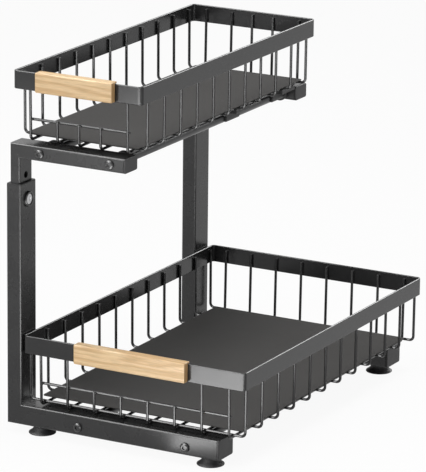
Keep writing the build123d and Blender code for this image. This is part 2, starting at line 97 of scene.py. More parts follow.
# Softboxes light the object. Cards only show as sheen on the coats: one with a floor_turn lies on the
# floor and shines up, turned by these degrees, and the others look at the object.
LAMPS = (
    {"name": "top_softbox", "place": (0.3, -0.2, 2.3), "size": (1.2, 1.0), "watts": 25},
    {"name": "front_softbox", "place": (-0.6, -3.0, 1.5), "size": (1.4, 1.2), "watts": 27},
    {"name": "front_card", "place": (0.11, -0.56, 0.004), "size": (0.42, 0.5), "watts": 6.9,
     "card": True, "floor_turn": -28.65},
    {"name": "far_card", "place": (0.1, -1.6, 0.004), "size": (1.7, 0.6), "watts": 38,
     "card": True, "floor_turn": 0},
    {"name": "left_card", "place": (-1.2, -2.4, 1.1), "size": (0.7, 1.0), "watts": 30, "card": True},
    {"name": "side_card", "place": (0.72, -0.62, 0.004), "size": (0.7, 0.3), "watts": 5.5,
     "card": True, "floor_turn": -28.65},
    {"name": "top_card", "place": (-1.15, -0.75, 2.1), "size": (2.4, 1.6), "watts": 140, "card": True},
    {"name": "back_right_card", "place": (0.72, 2.2, 1.3), "size": (1.5, 1.0), "watts": 55, "card": True},
)
OBJECT_MIDDLE = (0.0, 0.0, 0.2)

# Finishes by slot: colour, grain per metre, grain depth, least and most roughness, and the rest by name.
# A colour that a user would change is the name of its setting.
RECIPES = {
    "frame_steel": ("frame_coat", 1500.0, 0.06, 0.24, 0.30, {"spread": 0.06, "specular": 0.36}),
    # The rails' colour is darker than the frames' same coat: painted shade from the baskets above them
    "rail_steel": ("rail_coat", 1200.0, 0.06, 0.28, 0.36, {"spread": 0.06, "specular": 0.3}),
    "basket_steel": ("basket_coat", 1500.0, 0.05, 0.18, 0.24, {"spread": 0.06, "specular": 0.36}),
    "plate_steel": ("plate_coat", 1300.0, 0.15, 0.7, 0.8, {"spread": 0.06, "specular": 0.06}),
    "black_plastic": ((0.014, 0.014, 0.0145), 1100.0, 0.2, 0.42, 0.5, {"specular": 0.3}),
    "black_rubber": ((0.014, 0.014, 0.015), 700.0, 0.3, 0.55, 0.7, {}),
    "zinc_screws": ((0.55, 0.55, 0.56), 2500.0, 0.12, 0.28, 0.42, {"metallic": 1.0}),
    "black_screws": ((0.010, 0.010, 0.0105), 2000.0, 0.1, 0.2, 0.28, {"specular": 0.6}),
    "insert_brass": ((0.72, 0.52, 0.22), 2500.0, 0.1, 0.3, 0.42, {"metallic": 1.0}),
}
WOOD_SPECULAR = 0.35

# Wood figure: its scale along the grip against across it, and its rings
GRAIN_STRETCH = 0.05
RING_COUNT = 44.0


# Settings a user would change

class WireSettings(bpy.types.PropertyGroup):
    """Sizes of the basket wires."""

    bend_radius: bpy.props.FloatProperty(
        name="Bend radius", description="Radius of the wires' bends at their centre line",
        default=5 * MM, unit="LENGTH")
    bend_steps: bpy.props.IntProperty(
        name="Bend steps", description="Straight steps round each bend", default=7, min=3, max=16)
    weld_radius: bpy.props.FloatProperty(
        name="Weld radius", description="Half the width of a weld nugget where wires cross",
        default=1.9 * MM, unit="LENGTH")
    side_lean: bpy.props.FloatProperty(
        name="Side lean", description="How far the side wires' feet stand inside their tops",
        default=0.3 * MM, unit="LENGTH")
    end_lean: bpy.props.FloatProperty(
        name="End lean", description="How far the front and rear wires' feet stand inside their tops",
        default=1.4 * MM, unit="LENGTH")


class BandSettings(bpy.types.PropertyGroup):
    """Sizes of the rim bands and floor plates."""

    corner_radius: bpy.props.FloatProperty(
        name="Band corner", description="Outer corner radius of the rim bands", default=5 * MM, unit="LENGTH")
    thickness: bpy.props.FloatProperty(
        name="Band thickness", description="Thickness of the rim bands", default=2 * MM, unit="LENGTH")
    edge: bpy.props.FloatProperty(
        name="Band edge", description="Rounding of the rim bands' edges", default=0.9 * MM, unit="LENGTH")
    plate_corner: bpy.props.FloatProperty(
        name="Plate corner", description="Corner radius of the floor plates", default=4 * MM, unit="LENGTH")
    plate_edge: bpy.props.FloatProperty(
        name="Plate edge", description="Rounding of the floor plates' edges", default=0.3 * MM, unit="LENGTH")


class HandleSettings(bpy.types.PropertyGroup):
    """Sizes of the wooden grips."""

    long_edge: bpy.props.FloatProperty(
        name="Long edges", description="Rounding of the grip's long edges", default=2 * MM, unit="LENGTH")
    end_edge: bpy.props.FloatProperty(
        name="End edges", description="Rounding of the grip's ends", default=1.2 * MM, unit="LENGTH")


class FinishSettings(bpy.types.PropertyGroup):
    """Colours of the finishes."""

    frame_coat: bpy.props.FloatVectorProperty(
        name="Frame coat", description="Powder coat of the frames", subtype="COLOR", size=4,
        default=(0.023, 0.023, 0.0235, 1))
    # Darker than the frame coat as painted shade: the rails lie in the baskets' shadow
    rail_coat: bpy.props.FloatVectorProperty(
        name="Rail coat", description="Powder coat of the rails", subtype="COLOR", size=4,
        default=(0.013, 0.013, 0.0135, 1))
    basket_coat: bpy.props.FloatVectorProperty(
        name="Basket coat", description="Powder coat of the rim bands and wires", subtype="COLOR", size=4,
        default=(0.021, 0.021, 0.0215, 1))
    plate_coat: bpy.props.FloatVectorProperty(
        name="Plate coat", description="Powder coat of the floor plates", subtype="COLOR", size=4,
        default=(0.074, 0.072, 0.070, 1))
    pale_wood: bpy.props.FloatVectorProperty(
        name="Pale wood", description="Light grain of the handles", subtype="COLOR", size=4,
        default=(0.88, 0.63, 0.345, 1))
    dark_wood: bpy.props.FloatVectorProperty(
        name="Dark wood", description="Dark grain of the handles", subtype="COLOR", size=4,
        default=(0.66, 0.40, 0.175, 1))


class StageSettings(bpy.types.PropertyGroup):
    """Camera, floor and light."""

    yaw: bpy.props.FloatProperty(
        name="Camera turn", description="Turn of the view to the left",
        default=radians(28.65), subtype="ANGLE")
    pitch: bpy.props.FloatProperty(
        name="Camera tilt", description="Downward tilt of the view",
        default=radians(15.52), subtype="ANGLE")
    roll: bpy.props.FloatProperty(
        name="Camera roll", description="Roll of the view", default=radians(0.61), subtype="ANGLE")
    position: bpy.props.FloatVectorProperty(
        name="Camera place", description="Where the camera stands",
        default=(1.970288, -3.615882, 1.333968), subtype="TRANSLATION")
    focal_pixels: bpy.props.FloatProperty(
        name="Focal length", description="Focal length in pixels of the photograph", default=3873.99)
    floor_size: bpy.props.FloatProperty(
        name="Floor size", description="Side of the floor", default=14.0, unit="LENGTH")
    daylight: bpy.props.FloatProperty(
        name="Daylight", description="Strength of the even light from all round", default=0.32, min=0)


# Mesh tools

def deselect():
    """Leaves edit mode and clears the selection."""
    if bpy.context.object is not None and bpy.context.object.mode != "OBJECT":
        bpy.ops.object.mode_set(mode="OBJECT")
    bpy.ops.object.select_all(action="DESELECT")


def activate(piece):
    """Makes a piece the only selected one."""
    deselect()
    piece.select_set(True)
    bpy.context.view_layer.objects.active = piece


def apply_place(piece):
    """Puts a piece's place, turn and scale in its mesh."""
    activate(piece)
    bpy.ops.object.transform_apply(location=True, rotation=True, scale=True)


def pick(piece, kind, test):
    """Enters edit mode and selects the vertices, edges or faces that pass a test."""
    activate(piece)
    bpy.ops.object.mode_set(mode="EDIT")
    bpy.ops.mesh.select_mode(type=kind)
    bpy.ops.mesh.select_all(action="DESELECT")
    mesh = bmesh.from_edit_mesh(piece.data)
    parts = {"VERT": mesh.verts, "EDGE": mesh.edges, "FACE": mesh.faces}[kind]
    for part in parts:
        part.select_set(test(part))
    bmesh.update_edit_mesh(piece.data)


def along(axis):
    """Test for edges that run along an axis."""
    def test(edge):
        run = edge.verts[1].co - edge.verts[0].co
        return abs(run[axis]) > 0.999 * run.length
    return test


def facing(axis, sign):
    """Test for faces that look along an axis."""
    return lambda face: face.normal[axis] * sign > 0.999


def bevel_picked(width, steps, kind="EDGES"):
    """Bevels what is selected and leaves edit mode."""
    bpy.ops.mesh.bevel(offset_type="OFFSET", offset=width, segments=steps, profile=0.5, affect=kind)
    bpy.ops.object.mode_set(mode="OBJECT")


def use_modifier(piece, kind, **values):
    """Adds a modifier with these values and applies it."""
    activate(piece)
    bpy.ops.object.modifier_add(type=kind)
    modifier = piece.modifiers[-1]
    for name, value in values.items():
        setattr(modifier, name, value)
    bpy.ops.object.modifier_apply(modifier=modifier.name)


def soften(piece, width, steps=2, angle=35):
    """Rounds the sharp edges of a piece a little and shades it smoothly."""
    use_modifier(piece, "BEVEL", width=width, segments=steps, limit_method="ANGLE",
                 angle_limit=radians(angle))
    smooth(piece)


def smooth(piece, angle=40):
    """Smooth shading with flat faces kept flat."""
    activate(piece)
    bpy.ops.object.shade_smooth_by_angle(angle=radians(angle))
    use_modifier(piece, "WEIGHTED_NORMAL", keep_sharp=True)


def bar(low, high):
    """Box between two corners, with its place in its mesh."""
    deselect()
    low, high = Vector(low), Vector(high)
    bpy.ops.mesh.primitive_cube_add(size=1, location=(low + high) / 2, scale=high - low)
    piece = bpy.context.object
    apply_place(piece)
    return piece


def turned(rings, closed=False, count=40):
    """Turned piece about Z: a circle extruded and scaled from ring to ring of (radius, height)."""
    deselect()
    radius, height = rings[0]
    bpy.ops.mesh.primitive_circle_add(vertices=count, radius=radius, fill_type="NOTHING",
                                      location=(0, 0, height))
    piece = bpy.context.object
    apply_place(piece)
    bpy.ops.object.mode_set(mode="EDIT")
    bpy.ops.mesh.select_mode(type="VERT")
    bpy.ops.mesh.select_all(action="SELECT")
    for next_radius, next_height in rings[1:]:
        rise = (0, 0, next_height - height)
        bpy.ops.mesh.extrude_region_move(TRANSFORM_OT_translate={"value": rise})
        share = next_radius / radius
        bpy.ops.transform.resize(value=(share, share, 1), center_override=(0, 0, next_height))
        radius, height = next_radius, next_height
    bpy.ops.mesh.select_all(action="SELECT")
    if closed:
        bpy.ops.mesh.remove_doubles(threshold=TOUCHING)
    else:
        bpy.ops.mesh.fill_holes(sides=0)
    bpy.ops.mesh.select_all(action="SELECT")
    bpy.ops.mesh.normals_make_consistent(inside=False)
    bpy.ops.object.mode_set(mode="OBJECT")
    return piece


def join(pieces):
    """Joins pieces into the first one."""
    activate(pieces[0])
    for piece in pieces[1:]:
        piece.select_set(True)
    if len(pieces) > 1:
        bpy.ops.object.join()
    return bpy.context.object


def copies(model, places):
    """Copies of a finished model, each with its own mesh, at (place, turn), joined. The model is used up."""
    made = []
    for place, turn in places:
        activate(model)
        bpy.ops.object.duplicate(linked=False)
        copy = bpy.context.object
        copy.matrix_world = Matrix.Translation(place) @ Euler(turn).to_matrix().to_4x4() @ model.matrix_world
        apply_place(copy)
        made.append(copy)
    piece = join(made)
    bpy.data.objects.remove(model)
    return piece


def copy_of_node(node):
    """Own copy of a CAD node's mesh, merged so that modifiers can work on it."""
    source = frame["nodes"][node]
    activate(source)
    bpy.ops.object.duplicate(linked=False)
    piece = bpy.context.object
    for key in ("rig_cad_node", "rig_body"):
        del piece[key]
    piece.parent = None
    bpy.ops.object.mode_set(mode="EDIT")
    bpy.ops.mesh.select_all(action="SELECT")
    bpy.ops.mesh.customdata_custom_splitnormals_clear()
    bpy.ops.mesh.remove_doubles(threshold=TOUCHING / 2)
    bpy.ops.mesh.dissolve_limited(angle_limit=radians(0.5))
    bpy.ops.object.mode_set(mode="OBJECT")
    return piece


def wire(points, radius, bend, steps):
    """Bent wire: one vertex extruded from point to point, its corners rounded, made a tube."""
    deselect()
    points = [Vector(p) for p in points]
    bpy.ops.mesh.primitive_plane_add(size=MM, location=points[0])
    piece = bpy.context.object
    apply_place(piece)
    bpy.ops.object.mode_set(mode="EDIT")
    bpy.ops.mesh.select_mode(type="VERT")
    bpy.ops.mesh.select_all(action="SELECT")
    bpy.ops.mesh.merge(type="CENTER")
    for start, end in zip(points, points[1:]):
        bpy.ops.mesh.extrude_region_move(TRANSFORM_OT_translate={"value": end - start})
    if len(points) > 2:
        corners = points[1:-1]
        pick(piece, "VERT", lambda v: min((v.co - c).length for c in corners) < AT_POINT)
        bevel_picked(bend, steps, "VERTICES")
    deselect()
    activate(piece)
    bpy.ops.object.convert(target="CURVE")
    piece = bpy.context.object
    piece.data.bevel_depth = radius
    piece.data.bevel_resolution = 2
    piece.data.use_fill_caps = True
    bpy.ops.object.convert(target="MESH")
    piece = bpy.context.object
    bpy.ops.object.mode_set(mode="EDIT")
    bpy.ops.mesh.select_all(action="SELECT")
    bpy.ops.mesh.remove_doubles(threshold=TOUCHING)
    bpy.ops.mesh.normals_make_consistent(inside=False)
    bpy.ops.object.mode_set(mode="OBJECT")
    return piece


def dress(piece, name, body, slot, *nodes):
    """Names a piece, gives it its body, material slot and finish, and hides the nodes it stands for."""
    piece.name = name
    piece.data.name = name
    piece.data.materials.clear()
    piece.data.materials.append(finish(slot))
    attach(piece, body)
    if nodes:
        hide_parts(*nodes)
    return piece


def coat_node(node, slot):
    """Gives a CAD node that stays its finish."""
    mesh = frame["nodes"][node].data
    mesh.materials.clear()
    mesh.materials.append(finish(slot))


# Finishes

def add_node(tree, kind, **values):
    """New shader node with inputs and settings by name."""
    node = tree.nodes.new(kind)
    for name, value in values.items():
        if hasattr(node, name):
            setattr(node, name, value)
        else:
            node.inputs[name.replace("_", " ")].default_value = value
    return node


def new_group(name, inputs, outputs):
    """Empty shader node group with named sockets, and its two end nodes."""
    group = bpy.data.node_groups.new(name, "ShaderNodeTree")
    for socket, kind, value in inputs:
        made = group.interface.new_socket(name=socket, in_out="INPUT", socket_type=kind)
        made.default_value = value
    for socket, kind in outputs:
        group.interface.new_socket(name=socket, in_out="OUTPUT", socket_type=kind)
    return group, group.nodes.new("NodeGroupInput"), group.nodes.new("NodeGroupOutput")


def grain_group():
    """Slightly uneven coat: soft clouds in colour and gloss, and the fine bumps of its grain."""
    if "coat_grain" in bpy.data.node_groups:
        return bpy.data.node_groups["coat_grain"]
    group, start, end = new_group(
        "coat_grain",
        [("Light Color", "NodeSocketColor", (0.1, 0.1, 0.1, 1)),
         ("Dark Color", "NodeSocketColor", (0.05, 0.05, 0.05, 1)),
         ("Cloud Scale", "NodeSocketFloat", 30.0),
         ("Grain Scale", "NodeSocketFloat", 900.0),
         ("Grain Depth", "NodeSocketFloat", 0.1),
         ("Smooth Roughness", "NodeSocketFloat", 0.35),
         ("Rough Roughness", "NodeSocketFloat", 0.5)],
        [("Color", "NodeSocketColor"), ("Roughness", "NodeSocketFloat"), ("Normal", "NodeSocketVector")])
    link = group.links.new
    place = group.nodes.new("ShaderNodeTexCoord")
    clouds = add_node(group, "ShaderNodeTexNoise", Detail=4.0, Roughness=0.6)
    link(place.outputs["Object"], clouds.inputs["Vector"])
    link(start.outputs["Cloud Scale"], clouds.inputs["Scale"])
    spread = add_node(group, "ShaderNodeMapRange", From_Min=0.35, From_Max=0.65)
    link(clouds.outputs["Fac"], spread.inputs["Value"])
    grain = add_node(group, "ShaderNodeTexNoise", Detail=2.0, Roughness=0.5)
    link(place.outputs["Object"], grain.inputs["Vector"])
    link(start.outputs["Grain Scale"], grain.inputs["Scale"])
    colour = add_node(group, "ShaderNodeMix", data_type="RGBA")
    link(spread.outputs["Result"], colour.inputs[0])
    link(start.outputs["Dark Color"], colour.inputs[6])
    link(start.outputs["Light Color"], colour.inputs[7])
    speckle = add_node(group, "ShaderNodeMapRange", From_Min=0.3, From_Max=0.7, To_Min=0.88, To_Max=1.12)
    link(grain.outputs["Fac"], speckle.inputs["Value"])
    tint = add_node(group, "ShaderNodeVectorMath", operation="SCALE")
    link(colour.outputs[2], tint.inputs[0])
    link(speckle.outputs["Result"], tint.inputs["Scale"])
    link(tint.outputs[0], end.inputs["Color"])
    rough = add_node(group, "ShaderNodeMapRange")
    link(spread.outputs["Result"], rough.inputs["Value"])
    link(start.outputs["Smooth Roughness"], rough.inputs["To Min"])
    link(start.outputs["Rough Roughness"], rough.inputs["To Max"])
    link(rough.outputs["Result"], end.inputs["Roughness"])
    bump = add_node(group, "ShaderNodeBump", Distance=0.1 * MM)
    link(start.outputs["Grain Depth"], bump.inputs["Strength"])
    link(grain.outputs["Fac"], bump.inputs["Height"])
    link(bump.outputs["Normal"], end.inputs["Normal"])
    return group


def wood_group():
    """Long wavy figure along X, fine pores, and darker end grain."""
    group, start, end = new_group(
        "wood_figure",
        [("Pale Color", "NodeSocketColor", (0.88, 0.63, 0.345, 1)),
         ("Dark Color", "NodeSocketColor", (0.66, 0.40, 0.175, 1)),
         ("End Color", "NodeSocketColor", (0.5, 0.3, 0.13, 1)),
         ("Figure Scale", "NodeSocketFloat", 60.0)],
        [("Color", "NodeSocketColor"), ("Roughness", "NodeSocketFloat"), ("Normal", "NodeSocketVector")])
    link = group.links.new
    place = group.nodes.new("ShaderNodeTexCoord")
    stretch = add_node(group, "ShaderNodeMapping", Scale=(GRAIN_STRETCH, 1.0, 1.0))
    link(place.outputs["Object"], stretch.inputs["Vector"])
    figure = add_node(group, "ShaderNodeTexNoise", Detail=3.0, Roughness=0.5, Distortion=0.3)
    link(stretch.outputs["Vector"], figure.inputs["Vector"])
    link(start.outputs["Figure Scale"], figure.inputs["Scale"])
    bands = add_node(group, "ShaderNodeMath", operation="MULTIPLY")
    bands.inputs[1].default_value = RING_COUNT
    link(figure.outputs["Fac"], bands.inputs[0])
    rings = add_node(group, "ShaderNodeMath", operation="SINE")
    link(bands.outputs[0], rings.inputs[0])
    pores = add_node(group, "ShaderNodeTexNoise", Scale=1400.0, Detail=3.0, Roughness=0.6)
    link(stretch.outputs["Vector"], pores.inputs["Vector"])
    share = add_node(group, "ShaderNodeMapRange", From_Min=-1.0, From_Max=1.6)
    link(rings.outputs[0], share.inputs["Value"])
    blend = add_node(group, "ShaderNodeMix", data_type="RGBA")
    link(share.outputs["Result"], blend.inputs[0])
    link(start.outputs["Pale Color"], blend.inputs[6])
    link(start.outputs["Dark Color"], blend.inputs[7])
    fleck = add_node(group, "ShaderNodeMapRange", From_Min=0.35, From_Max=0.65, To_Min=0.86, To_Max=1.06)
    link(pores.outputs["Fac"], fleck.inputs["Value"])
    flecked = add_node(group, "ShaderNodeVectorMath", operation="SCALE")
    link(blend.outputs[2], flecked.inputs[0])
    link(fleck.outputs["Result"], flecked.inputs["Scale"])
    facing_x = group.nodes.new("ShaderNodeSeparateXYZ")
    link(place.outputs["Normal"], facing_x.inputs[0])
    end_share = add_node(group, "ShaderNodeMath", operation="POWER")
    end_share.inputs[1].default_value = 2.0
    link(facing_x.outputs["X"], end_share.inputs[0])
    ended = add_node(group, "ShaderNodeMix", data_type="RGBA")
    link(end_share.outputs[0], ended.inputs[0])
    link(flecked.outputs[0], ended.inputs[6])
    link(start.outputs["End Color"], ended.inputs[7])
    link(ended.outputs[2], end.inputs["Color"])
    rough = add_node(group, "ShaderNodeMapRange", To_Min=0.42, To_Max=0.58)
    link(share.outputs["Result"], rough.inputs["Value"])
    link(rough.outputs["Result"], end.inputs["Roughness"])
    bump = add_node(group, "ShaderNodeBump", Distance=0.15 * MM, Strength=0.35)
    link(pores.outputs["Fac"], bump.inputs["Height"])
    link(bump.outputs["Normal"], end.inputs["Normal"])
    return group


def shader(name, group, values, metallic=0.0, specular=0.5, coat=0.0):
    """Material that puts a group's colour, roughness and normal on one Principled shader."""
    material = bpy.data.materials.new(name)
    material.use_nodes = True
    tree = material.node_tree
    surface = tree.nodes["Principled BSDF"]
    surface.inputs["Metallic"].default_value = metallic
    surface.inputs["Specular IOR Level"].default_value = specular
    surface.inputs["Coat Weight"].default_value = coat
    effect = tree.nodes.new("ShaderNodeGroup")
    effect.node_tree = group
    for socket, value in values.items():
        effect.inputs[socket].default_value = value
    tree.links.new(effect.outputs["Color"], surface.inputs["Base Color"])
    tree.links.new(effect.outputs["Roughness"], surface.inputs["Roughness"])
    tree.links.new(effect.outputs["Normal"], surface.inputs["Normal"])
    return material


def coat(name, colour, grain_scale, grain_depth, smooth_rough, rough_rough, spread=0.12, clouds=30.0, **kind):
    """Coat, plastic, rubber or metal with the shared grain."""
    light = [c * (1 + spread) for c in colour[:3]] + [1]
    dark = [c * (1 - spread) for c in colour[:3]] + [1]
    values = {"Light Color": light, "Dark Color": dark, "Cloud Scale": clouds, "Grain Scale": grain_scale,
              "Grain Depth": grain_depth, "Smooth Roughness": smooth_rough, "Rough Roughness": rough_rough}
    return shader(name, grain_group(), values, **kind)


def finish(slot):
    """The material of a slot, made on its first use."""
    name = "finish_" + slot
    if name in bpy.data.materials:
        return bpy.data.materials[name]
    colours = bpy.context.scene.organizer_finish
    if slot == "handle_wood":
        values = {"Pale Color": tuple(colours.pale_wood), "Dark Color": tuple(colours.dark_wood)}
        return shader(name, wood_group(), values, specular=WOOD_SPECULAR)
    colour, grain, depth, smooth_rough, rough_rough, kind = RECIPES[slot]
    if isinstance(colour, str):
        colour = getattr(colours, colour)
    return coat(name, colour, grain, depth, smooth_rough, rough_rough, **kind)


# Pieces

class ORGANIZER_OT_stage(bpy.types.Operator):
    """Adds the floor, the soft lights, the world and the camera."""

    bl_idname = "organizer.stage"
    bl_label = "Stage"

    def execute(self, context):
        stage = context.scene.organizer_stage
        deselect()
        bpy.ops.mesh.primitive_plane_add(size=stage.floor_size, location=(0, 0, 0))
        floor = context.object
        floor.name = "studio_floor"
        floor.data.materials.append(self.floor_material())
        for lamp in LAMPS:
            self.lamp(**lamp)
        turn = Matrix.Rotation(stage.yaw, 4, "Z") @ Matrix.Rotation(pi / 2 - stage.pitch, 4, "X")
        turn = turn @ Matrix.Rotation(stage.roll, 4, "Z")
        deselect()
        bpy.ops.object.camera_add(location=stage.position, rotation=turn.to_euler())
        camera = context.object
        camera.name = "photo_camera"
        camera.data.sensor_fit = "HORIZONTAL"
        camera.data.sensor_width = SENSOR_WIDTH
        camera.data.lens = SENSOR_WIDTH * stage.focal_pixels / PHOTO_WIDTH
        camera.data.clip_end = 50.0
        context.scene.camera = camera
        self.light_world(context.scene, stage.daylight)
        context.scene.view_settings.view_transform = "Standard"
        return {"FINISHED"}

    def lamp(self, name, place, size, watts, card=False, floor_turn=None):
        """Soft lamp out of the camera's sight; a card adds sheen and no other light."""
        if floor_turn is None:
            turn = (Vector(OBJECT_MIDDLE) - Vector(place)).to_track_quat("-Z", "Y").to_euler()
        else:
            turn = Euler((pi, 0, radians(floor_turn)))
        deselect()
        bpy.ops.object.light_add(type="AREA", location=place, rotation=turn)
        lamp = bpy.context.object
        lamp.name = name
        lamp.data.shape = "RECTANGLE"
        lamp.data.size, lamp.data.size_y = size
        lamp.data.energy = watts
        lamp.visible_camera = False
        lamp.visible_diffuse = not card

    def seen_share(self, tree):
        """Output that is 1 for camera, glossy and transmitted rays."""
        rays = tree.nodes.new("ShaderNodeLightPath")
        share = rays.outputs["Is Camera Ray"]
        for kind in ("Is Glossy Ray", "Is Transmission Ray"):
            larger = add_node(tree, "ShaderNodeMath", operation="MAXIMUM")
            tree.links.new(share, larger.inputs[0])
            tree.links.new(rays.outputs[kind], larger.inputs[1])
            share = larger.outputs[0]
        return share

    def floor_material(self):
        """Pale floor that shows white with a faint shadow."""
        material = bpy.data.materials.new("studio_floor_white")
        material.use_nodes = True
        tree = material.node_tree
        plain = tree.nodes["Principled BSDF"]
        plain.inputs["Base Color"].default_value = (FLOOR_WHITE, FLOOR_WHITE, FLOOR_WHITE, 1)
        plain.inputs["Roughness"].default_value = 0.9
        glow = add_node(tree, "ShaderNodeEmission", Strength=1.0)
        mix = tree.nodes.new("ShaderNodeMixShader")
        share = add_node(tree, "ShaderNodeMath", operation="MULTIPLY")
        share.inputs[1].default_value = FLOOR_GLOW
        tree.links.new(self.seen_share(tree), share.inputs[0])
        tree.links.new(share.outputs[0], mix.inputs[0])
        tree.links.new(plain.outputs[0], mix.inputs[1])
        tree.links.new(glow.outputs[0], mix.inputs[2])
        tree.links.new(mix.outputs[0], tree.nodes["Material Output"].inputs["Surface"])
        return material

    def light_world(self, scene, strength):
        """Even light from all round, seen as white."""
        world = bpy.data.worlds.new("studio_world")
        scene.world = world
        world.use_nodes = True
        tree = world.node_tree
        light = tree.nodes["Background"]
        light.inputs["Color"].default_value = (1, 1, 1, 1)
        light.inputs["Strength"].default_value = strength
        seen = add_node(tree, "ShaderNodeBackground", Color=(1, 1, 1, 1), Strength=1.0)
        mix = tree.nodes.new("ShaderNodeMixShader")
        tree.links.new(self.seen_share(tree), mix.inputs[0])
        tree.links.new(light.outputs[0], mix.inputs[1])
        tree.links.new(seen.outputs[0], mix.inputs[2])
        tree.links.new(mix.outputs[0], tree.nodes["World Output"].inputs["Surface"])


class ORGANIZER_OT_frames(bpy.types.Operator):
    """Adds the four welded frames with rounded edges."""

    bl_idname = "organizer.frames"
    bl_label = "Frames"

    def execute(self, context):
        tube_edge = 0.35 * MM
        for node, body in (("base_front_frame", "base"), ("base_rear_frame", "base"),
                           ("top_front_frame", "upper_frame"), ("top_rear_frame", "upper_frame")):
            piece = copy_of_node(node)
            soften(piece, tube_edge, steps=2, angle=50)
            dress(piece, node + "_tubes", body, "frame_steel", node)
        return {"FINISHED"}


class ORGANIZER_OT_end_caps(bpy.types.Operator):
    """Adds the caps in the right ends of the arms."""

    bl_idname = "organizer.end_caps"
    bl_label = "End caps"

    def execute(self, context):
        plate_thickness, plate_corner, plate_edge = 2.5 * MM, 2 * MM, 0.6 * MM
        plug_inset, plug_wall, plug_depth = 1.55 * MM, 1.6 * MM, 10 * MM
        for arm, body in (("base", "base"), ("top", "upper_frame")):
            for side in ("front", "rear"):
                node = arm + "_" + side + "_end_cap"
                low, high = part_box(node)
                plate_left = high.x - plate_thickness
                plate = bar((plate_left, low.y, low.z), high)
                pick(plate, "EDGE", along(0))
                bevel_picked(plate_corner, 5)
                soften(plate, plate_edge, steps=3)
                plug = bar((low.x, low.y + plug_inset, low.z + plug_inset),
                           (plate_left, high.y - plug_inset, high.z - plug_inset))
                pick(plug, "FACE", facing(0, -1))
                bpy.ops.mesh.inset(thickness=plug_wall)
                bpy.ops.mesh.extrude_region_move(TRANSFORM_OT_translate={"value": (plug_depth, 0, 0)})
                bpy.ops.object.mode_set(mode="OBJECT")
                smooth(plug)
                dress(join([plate, plug]), node + "_moulding", body, "black_plastic", node)
        return {"FINISHED"}


class ORGANIZER_OT_rails(bpy.types.Operator):
    """Gives the rails their coat and adds the rubber buffers on them."""

    bl_idname = "organizer.rails"
    bl_label = "Rails and buffers"

    def execute(self, context):
        for tier in TIERS:
            arm = ARMS[tier]
            body = RAIL_BODY[tier]
            for side in ("left", "right"):
                coat_node(arm + "_" + side + "_rail", "rail_steel")
            coat_node(arm + "_rail_inserts", "insert_brass")
            for end in ("front", "rear"):
                node = arm + "_" + end + "_buffers"
                low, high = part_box(node)
                radius = (high.z - low.z) / 2
                length = high.y - low.y
                inner, edge = 6.05 * MM, 0.8 * MM
                ring = turned([(inner, 0), (radius - edge, 0), (radius, edge), (radius, length - edge),
                               (radius - edge, length), (inner, length), (inner, 0)], closed=True)
                smooth(ring)
                turn = (-pi / 2, 0, 0)
                middle = (low.z + high.z) / 2
                places = [((x, low.y, middle), turn) for x in (low.x + radius, high.x - radius)]
                dress(copies(ring, places), node + "_rings", body, "black_rubber", node)
        return {"FINISHED"}


def socket_screw(radius, height, dome, shank_length):
    """Screw with a rounded head below z = 0, a six-sided socket and a plain shank along +Z."""
    head_edge, tip_chamfer = 0.15 * MM, 0.6 * MM
    side = height - dome
    rounding = [(radius - dome * (1 - cos(a)), -side - dome * sin(a))
                for a in (radians(20), radians(40), radians(60), radians(80), radians(90))]
    head = turned([(SHANK_RADIUS, 0), (radius, 0), (radius, -side), *rounding])
    deselect()
    bpy.ops.mesh.primitive_cylinder_add(vertices=6, radius=SOCKET_RADIUS, depth=height,
                                        location=(0, 0, -height))
    cutter = bpy.context.object
    apply_place(cutter)
    use_modifier(head, "BOOLEAN", operation="DIFFERENCE", object=cutter, solver="EXACT")
    bpy.data.objects.remove(cutter)
    shank = turned([(SHANK_RADIUS, 0), (SHANK_RADIUS, shank_length - tip_chamfer),
                    (SHANK_RADIUS - tip_chamfer, shank_length)], count=24)
    smooth(shank)
    soften(head, head_edge, steps=2, angle=50)
    return join([head, shank])


class ORGANIZER_OT_rail_bolts(bpy.types.Operator):
    """Adds the bolts that hold the rails in the arms."""

    bl_idname = "organizer.rail_bolts"
    bl_label = "Rail bolts"

    def execute(self, context):
        length_in_rail = 14 * MM
        for tier in TIERS:
            arm = ARMS[tier]
            node = arm + "_rail_bolts"
            low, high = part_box(node)
            frame_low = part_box(arm + "_front_frame")[0]
            height = frame_low.y - low.y
            radius = (high.z - low.z) / 2
            rail_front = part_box(arm + "_left_rail")[0].y
            screw = socket_screw(radius, height, BOLT_DOME, rail_front - frame_low.y + length_in_rail)
            middle = (low.z + high.z) / 2
            places = []
            for x in (low.x + radius, high.x - radius):
                places.append(((x, low.y + height, middle), (-pi / 2, 0, 0)))
                places.append(((x, high.y - height, middle), (pi / 2, 0, 0)))
            dress(copies(screw, places), node + "_set", RAIL_BODY[tier], "black_screws", node)
        return {"FINISHED"}


